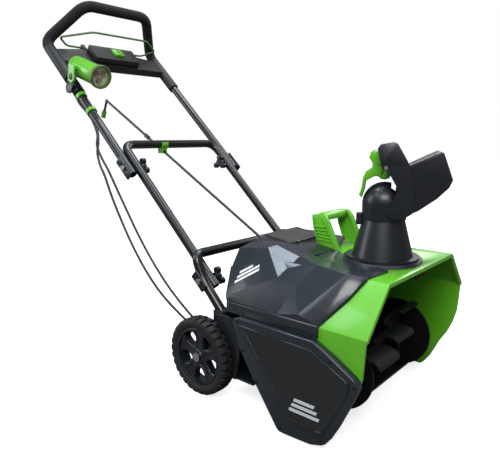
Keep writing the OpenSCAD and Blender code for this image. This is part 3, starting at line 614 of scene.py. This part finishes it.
def hub_ring(bm, section, steps, outer, side):
    rings = []
    for i in range(steps):
        angle = 2 * math.pi * i / steps
        rings.append([bm.verts.new(WHEEL_CENTRE + Vector((r * math.sin(angle), outer - side * inward,
                                                          r * math.cos(angle))))
                      for r, inward in section])
    for i in range(steps):
        stitch(bm, rings[i], rings[(i + 1) % steps])


def hub_spoke(bm, turn, outer, side):
    """One spoke, which flares towards the boss and the rim and is dished in between."""
    turned_by = Matrix.Rotation(turn, 3, "Y")
    rows = []
    for i in range(SPOKE_STATIONS):
        t = i / (SPOKE_STATIONS - 1)
        radius = SPOKE_FROM + t * SPOKE_REACH
        width = SPOKE_W + SPOKE_FLARE * (2 * t - 1) ** 2 * (RIM_FLARE if t > 0.5 else BOSS_FLARE)
        dish = SPOKE_SINK + SPOKE_DISH * math.sin(math.pi * t)
        row = []
        for across, sink in SPOKE_SECTION:
            x = across * width
            up = math.sqrt(max(radius * radius - x * x, 1e-8))
            row.append(bm.verts.new(WHEEL_CENTRE + turned_by @ Vector((x, 0, up))
                                    + Vector((0, outer - side * (dish + sink), 0))))
        rows.append(row)
    for low, high in zip(rows, rows[1:]):
        stitch(bm, low, high)
    bm.faces.new(rows[0])
    bm.faces.new(rows[-1])


def make_hub(side, label):
    """Rim, five dished spokes and a boss with a cap, outer face towards side."""
    bm = bmesh.new()
    outer = side * (WHEEL_Y + HUB_FACE)
    hub_ring(bm, RIM, 120, outer, side)
    hub_ring(bm, BOSS, 64, outer, side)
    for spoke in range(SPOKES):
        hub_spoke(bm, spoke * 2 * math.pi / SPOKES, outer, side)
    piece = riding("spoked_hub_" + label, bm, BLACK, "wheel_" + label, 35.0)
    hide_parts("hub_" + label)


def make_wheels():
    for side, label in ((-1, "right"), (1, "left")):
        make_tyre(side, label)
        make_hub(side, label)


# ---------------------------------------------------------------- handle frames
TUBE_R = 0.0125
TUBE_WALL = 0.0016
LOWER_BEND, MIDDLE_BEND, UPPER_BEND, BAIL_BEND = 0.026, 0.038, 0.034, 0.014
UPPER_END, FOAM_END = -27, 545           # from the fold, in millimetres along the handle
FOAM_R, FOAM_TAPER, FOAM_STEP = 0.0174, 0.0035, 0.006
BAIL_R = 0.0033
OUTER_Y, INNER_Y = 211, 185              # lower and upper frames, middle frame
UP = Vector((-0.7327, 0, 0.6806))        # up along the upper handle
OUT = Vector((0.6806, 0, 0.7327))        # square to it, forward and up
FOLD = at(-691, 0, 544)
# Near half of each path, from its end to the middle: x, y, z, or for the bail along, y, out
LOWER_HALF = ((-292, OUTER_Y, 165), (-392, OUTER_Y, 270), (-422, OUTER_Y, 333))
MIDDLE_HALF = ((-374, INNER_Y, 252), (-749, INNER_Y, 608))
LOOP_HALF = ((-1113, OUTER_Y, 936), (-1013, 121, 1048))
BAIL_HALF = ((554, 80, 10), (554, 150, 10), (542, 191, 45), (509, 108, 101))


def on_handle(along, y, out=0):
    """A point given from the fold, along the upper handle, in millimetres."""
    return FOLD + UP * (along / 1000) + OUT * (out / 1000) + Vector((0, y / 1000, 0))


def both_halves(half, place):
    """A path from the right end of a frame to its left end, from its right half."""
    return [place(a, -y, c) for a, y, c in half] + [place(a, y, c) for a, y, c in reversed(half)]


def frame_tube(name, path, body, node):
    piece = swept(name, path, TUBE_R, PAINT, body, wall=TUBE_WALL)
    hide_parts(node)


def make_frames():
    lower = round_path(both_halves(LOWER_HALF, at), LOWER_BEND)
    frame_tube("lower_tube", lower, "chassis", "lower_frame")
    middle = round_path(both_halves(MIDDLE_HALF, at), MIDDLE_BEND)
    frame_tube("middle_tube", middle, "chassis", "middle_frame")
    loop = both_halves(LOOP_HALF, at)
    upper = [on_handle(UPPER_END, -OUTER_Y)] + loop + [on_handle(UPPER_END, OUTER_Y)]
    frame_tube("upper_tube", round_path(upper, UPPER_BEND, 12), "handle", "upper_frame")
    grip = [on_handle(FOAM_END, -OUTER_Y)] + loop + [on_handle(FOAM_END, OUTER_Y)]
    grip = dense_path(round_path(grip, UPPER_BEND, 12), FOAM_STEP)
    last = len(grip) - 1
    radii = [FOAM_R - FOAM_TAPER * max(0, 1 - min(i, last - i) / 1.5) for i in range(last + 1)]
    piece = swept("foam_sleeve", grip, radii, FOAM, "handle", sides=36)
    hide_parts("foam_grip")


def make_bail():
    path = both_halves(BAIL_HALF, on_handle)
    piece = swept("bail_rod", round_path(path, BAIL_BEND), BAIL_R, BAIL_PAINT, "bail", sides=14)
    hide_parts("bail")


# ---------------------------------------------------------------- leads
LEAD_R = 0.0034
LEAD_A = [(-1042, -149, 853), (-1046, -150, 838), (-1020, -168, 806), (-985, -186, 770), (-940, -194, 726),
          (-890, -196, 684), (-850, -205, 640), (-815, -230, 605), (-780, -240, 572), (-745, -242, 536),
          (-705, -243, 484), (-660, -243, 424), (-612, -243, 362), (-560, -241, 300), (-505, -238, 244),
          (-450, -234, 198), (-395, -231, 162), (-350, -231, 140), (-312, -231, 132)]
LEAD_B = [(-1042, -157, 851), (-1036, -158, 824), (-1004, -182, 778), (-962, -193, 737), (-915, -189, 697),
          (-868, -193, 653), (-832, -214, 615), (-806, -236, 586), (-776, -248, 550), (-752, -250, 520),
          (-722, -251, 466), (-684, -251, 406), (-640, -250, 342), (-588, -248, 278), (-528, -244, 220),
          (-464, -236, 174), (-400, -230, 140), (-350, -229, 122), (-312, -231, 119)]


def make_lead(name, points, node):
    path = smooth_path([at(*point) for point in points])
    piece = new_object(name, sweep(path, LEAD_R, 12), CABLE)
    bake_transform(piece)
    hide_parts(node)


def make_leads():
    make_lead("lead_first", LEAD_A, "cable_upper")
    make_lead("lead_second", LEAD_B, "cable_lower")


# ---------------------------------------------------------------- folded facets of the shroud
SHROUD_POINTS = {
    "rear_crease": (-261, -265, 260), "rear_fold": (-265, -263, 269), "rear_top": (-297, -210, 322),
    "fold": (-152, -212, 322), "ridge_rear": (-221, -162, 372), "ridge_mid": (-204, -149, 378),
    "crown": (-234, -110, 370), "ridge_front": (-136, -152, 361), "valley_foot": (-113, -263, 259),
    "valley_low": (-97, -219, 313), "valley_high": (-73, -175, 357), "band_foot": (-63, -261, 270),
    "band_head": (8, -188, 353), "edge_foot": (-13, -263, 259), "edge_mid": (28, -214, 313),
    "edge_head": (48, -179, 350), "deck": (0, -128, 350),
}
SHROUD_FACETS = (
    ("rear_fold", "fold", "ridge_rear", "rear_top"), ("rear_crease", "valley_foot", "fold", "rear_fold"),
    ("fold", "ridge_front", "ridge_mid", "ridge_rear"), ("fold", "valley_low", "valley_high"),
    ("fold", "valley_high", "ridge_front"), ("fold", "valley_foot", "valley_low"),
    ("valley_foot", "band_foot", "valley_low"), ("valley_low", "band_foot", "band_head", "valley_high"),
    ("valley_foot", "edge_foot", "band_foot"),
    ("band_foot", "edge_foot", "edge_mid", "edge_head", "band_head"), ("band_head", "edge_head", "deck"),
    ("valley_high", "band_head", "deck"), ("ridge_front", "valley_high", "deck"),
    ("rear_top", "ridge_rear", "crown"), ("ridge_rear", "ridge_mid", "crown"),
    ("ridge_mid", "ridge_front", "crown"), ("crown", "ridge_front", "deck"),
)
SKIN = 0.0016             # thickness of the facets' skin
SKIN_EDGE = 0.0007


def make_shroud_facets():
    """The folded faces on the right of the shroud, as a skin that stands just proud of the moulding."""
    bm = bmesh.new()
    verts = {name: bm.verts.new(at(*point)) for name, point in SHROUD_POINTS.items()}
    for names in SHROUD_FACETS:
        bm.faces.new([verts[name] for name in names])
    bmesh.ops.triangulate(bm, faces=[face for face in bm.faces if len(face.verts) > 4])
    piece = riding("shroud_facets", bm, CHARCOAL, "chassis", 4.0)
    shell = piece.modifiers.new("shell", "SOLIDIFY")
    shell.thickness = SKIN
    shell.offset = 0.0
    edge = piece.modifiers.new("edges", "BEVEL")
    edge.width = SKIN_EDGE
    edge.segments = 2
    edge.limit_method = "ANGLE"
    edge.angle_limit = math.radians(5)


# ---------------------------------------------------------------- printed marks
MARK_SLANT = 3
MARK_LIFT = 0.0009        # over the middle of the facets' skin
PANEL_Y = -283.05
SHROUD_STRIPE_H, PANEL_STRIPE_H = 6, 7
# Left end, lower edge and length of each stripe, in millimetres
SHROUD_STRIPES = ((0, 0, 66), (9, 10, 60), (18, 20, 36))
PANEL_STRIPES = ((-66, 66, 74), (-60, 78, 62), (-54, 90, 50))


def stripe(x, y, length, height):
    """The outline of a slanted bar."""
    corners = ((x, y), (x + length, y), (x + length + MARK_SLANT, y + height), (x + MARK_SLANT, y + height))
    return [(a / 1000, b / 1000) for a, b in corners]


def make_marks():
    """Plain slanted stripes where the machine carries its printed marks."""
    rear_fold, fold, ridge_rear, rear_top = (
        at(*SHROUD_POINTS[name]) for name in ("rear_fold", "fold", "ridge_rear", "rear_top"))
    start = rear_fold.lerp(rear_top, 0.30).lerp(fold.lerp(ridge_rear, 0.30), 0.16)
    along = fold.lerp(ridge_rear, 0.42) - rear_fold.lerp(rear_top, 0.22)
    place = on_facet(start, along, rear_top - rear_fold, MARK_LIFT)
    for index, (x, y, length) in enumerate(SHROUD_STRIPES):
        piece = plate("shroud_stripe_%d" % index, stripe(x, y, length, SHROUD_STRIPE_H), 0.0004, place,
                      WHITE, "chassis")
    for index, (x, z, length) in enumerate(PANEL_STRIPES):
        piece = plate("panel_stripe_%d" % index, stripe(0, 0, length, PANEL_STRIPE_H), 0.0005,
                      facing_right(x, PANEL_Y, z), SILVER, "chassis")


# ---------------------------------------------------------------- carry handle, painted shade in the channel, and screws
LEG_FACE_Y = -2.0         # outer face of the carry handle's near leg
LEG_RAILS = (((-202, 430), (-198, 402), (-186, 366)), ((-173, 432), (-161, 416), (-129, 350)))
RAIL_W = 3.2
RAIL_PROUD, RIB_PROUD = 0.0042, 0.0032
RIBS, FIRST_RIB, RIB_PITCH = 5, 0.22, 0.16            # shares of the leg's height
RIB_H = 0.0024
CHANNEL_HALF = 0.2535
# Dark sheet and lip in the channel behind the auger: painted shade, a dark sheet put where the channel lies
# in shadow
SHADE_SHEET_R, SHADE_SHEET_WALL = 0.1136, 0.0014
SHADE_SHEET_FROM, SHADE_SHEET_TO, SHADE_SHEET_STEPS = 164, 270, 44      # degrees round the auger, from straight ahead
SHADE_LIP = ((-0.0278, 0.0020), (-0.0266, 0.0020), (-0.0266, 0.0078), (-0.0278, 0.0078))
SCREWS = ((-214, 224), (-196, 160), (-158, 96), (-90, 13), (14, 26), (84, 164), (30, 200))
SCREW_Y = -280.6
SCREW_R, SCREW_TOP_R, SCREW_H = 0.0036, 0.0028, 0.0014


def make_handle_ribs():
    """Raised rails and cross ribs on the outer face of the carry handle's near leg."""
    place = facing_right(0, LEG_FACE_Y, 0)
    for index, rail in enumerate(LEG_RAILS):
        inward = RAIL_W if index == 0 else -RAIL_W
        outline = [(x / 1000, z / 1000) for x, z in rail]
        outline += [((x + inward) / 1000, z / 1000) for x, z in reversed(rail)]
        piece = plate("handle_rail_%d" % index, outline, RAIL_PROUD, place, LIME, "chassis", 0.0006)
    for index in range(RIBS):
        t = FIRST_RIB + index * RIB_PITCH              # down the leg, which widens to its foot
        left = (-199.5 + 13 * t) / 1000, (414 - 48 * t) / 1000
        right = (-166 + 36 * t) / 1000, (418 - 58 * t) / 1000
        outline = [left, right, (right[0], right[1] + RIB_H), (left[0], left[1] + RIB_H)]
        piece = plate("handle_rib_%d" % index, outline, RIB_PROUD, place, LIME, "chassis", 0.0004)


def make_channel_shade_sheet():
    """Dark sheet that lines the channel behind the auger, and a lip along its front edge: painted shade,
    standing in for the shadow that fills the channel.
    """
    inner_r = SHADE_SHEET_R - SHADE_SHEET_WALL
    section = ((SHADE_SHEET_R, -CHANNEL_HALF), (SHADE_SHEET_R, CHANNEL_HALF), (inner_r, CHANNEL_HALF),
               (inner_r, -CHANNEL_HALF))
    bm = bmesh.new()
    rows = []
    for i in range(SHADE_SHEET_STEPS + 1):
        angle = math.radians(SHADE_SHEET_FROM + (SHADE_SHEET_TO - SHADE_SHEET_FROM) * i / SHADE_SHEET_STEPS)
        rows.append([bm.verts.new(AUGER + Vector((r * math.cos(angle), y, r * math.sin(angle))))
                     for r, y in section])
    for low, high in zip(rows, rows[1:]):
        stitch(bm, low, high)
    bm.faces.new(rows[0])
    bm.faces.new(rows[-1])
    # painted shade: dark rubber sheet and lip where the channel is in shadow
    piece = riding("channel_shade_sheet", bm, RUBBER, "chassis", 50.0)
    piece = plate("channel_shade_lip", SHADE_LIP, 2 * CHANNEL_HALF, facing_right(0, 1000 * CHANNEL_HALF, 0), RUBBER,
                  "chassis")


def make_screws():
    """Small pan heads round the side cover."""
    for index, (x, z) in enumerate(SCREWS):
        bm = bmesh.new()
        bmesh.ops.create_cone(bm, cap_ends=True, segments=24, radius1=SCREW_R, radius2=SCREW_TOP_R,
                              depth=SCREW_H)
        bmesh.ops.transform(bm, matrix=facing_right(x, SCREW_Y, z), verts=bm.verts)
        piece = riding("cover_screw_%d" % index, bm, DARK_METAL, "chassis")


# ---------------------------------------------------------------- headlight
LIGHT_TILT = math.radians(18.5)
LIGHT_AXIS = Vector((math.cos(LIGHT_TILT), 0, -math.sin(LIGHT_TILT)))
LIGHT_UP = Vector((math.sin(LIGHT_TILT), 0, math.cos(LIGHT_TILT)))
LIGHT_SIDE = Vector((0, 1, 0))
LIGHT_BACK = at(-950, -200, 846)
CUP_RING = 0.0128         # the three cups' centres from the lamp's axis
CUP_ANGLES = (-90, 32, 148)
# Profiles: distance along the axis, radius
LIGHT_SHELL = ((0.002, 0.010), (0.0, 0.022), (0.003, 0.027), (0.009, 0.0300), (0.018, 0.0305),
               (0.110, 0.0305), (0.118, 0.0325), (0.128, 0.0345), (0.128, 0.0275), (0.110, 0.0270),
               (0.104, 0.010))
LIGHT_DISH = ((0.1225, 0.004), (0.1225, 0.0272), (0.1235, 0.0274), (0.1235, 0.004))
LIGHT_CUP = ((0.1234, 0.0095), (0.1262, 0.0095), (0.1262, 0.0082), (0.1240, 0.0052), (0.1240, 0.001))
LIGHT_CHIP = ((0.1238, 0.0005), (0.1238, 0.0050), (0.1252, 0.0044), (0.1258, 0.002), (0.1258, 0.0002))
LIGHT_LENS = ((0.1278, 0.0002), (0.1278, 0.0279), (0.1290, 0.0279), (0.1300, 0.0200), (0.1304, 0.0002))


def light_part(name, profile, mat, centre=LIGHT_BACK, sides=64):
    return turned(name, profile, mat, "headlight", centre, LIGHT_AXIS, sides)


def make_headlight():
    piece = light_part("light_shell", LIGHT_SHELL, LIME)
    piece = light_part("light_dish", LIGHT_DISH, DISH)
    for index, angle in enumerate(CUP_ANGLES):
        side = CUP_RING * math.cos(math.radians(angle))
        up = CUP_RING * math.sin(math.radians(angle))
        centre = LIGHT_BACK + LIGHT_SIDE * side + LIGHT_UP * up
        piece = light_part("light_cup_%d" % index, LIGHT_CUP, CUP, centre, 32)
        piece = light_part("light_chip_%d" % index, LIGHT_CHIP, CUP, centre, 24)
    piece = light_part("light_lens", LIGHT_LENS, LENS)
    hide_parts("headlight_lens", "headlight_leds")


make_camera()
make_leads()
make_studio()
make_floor()
dress_cad()
make_edges()
make_frames()
make_bail()
make_wheels()
make_headlight()
make_shroud_facets()
make_marks()
make_handle_ribs()
make_channel_shade_sheet()
make_screws()
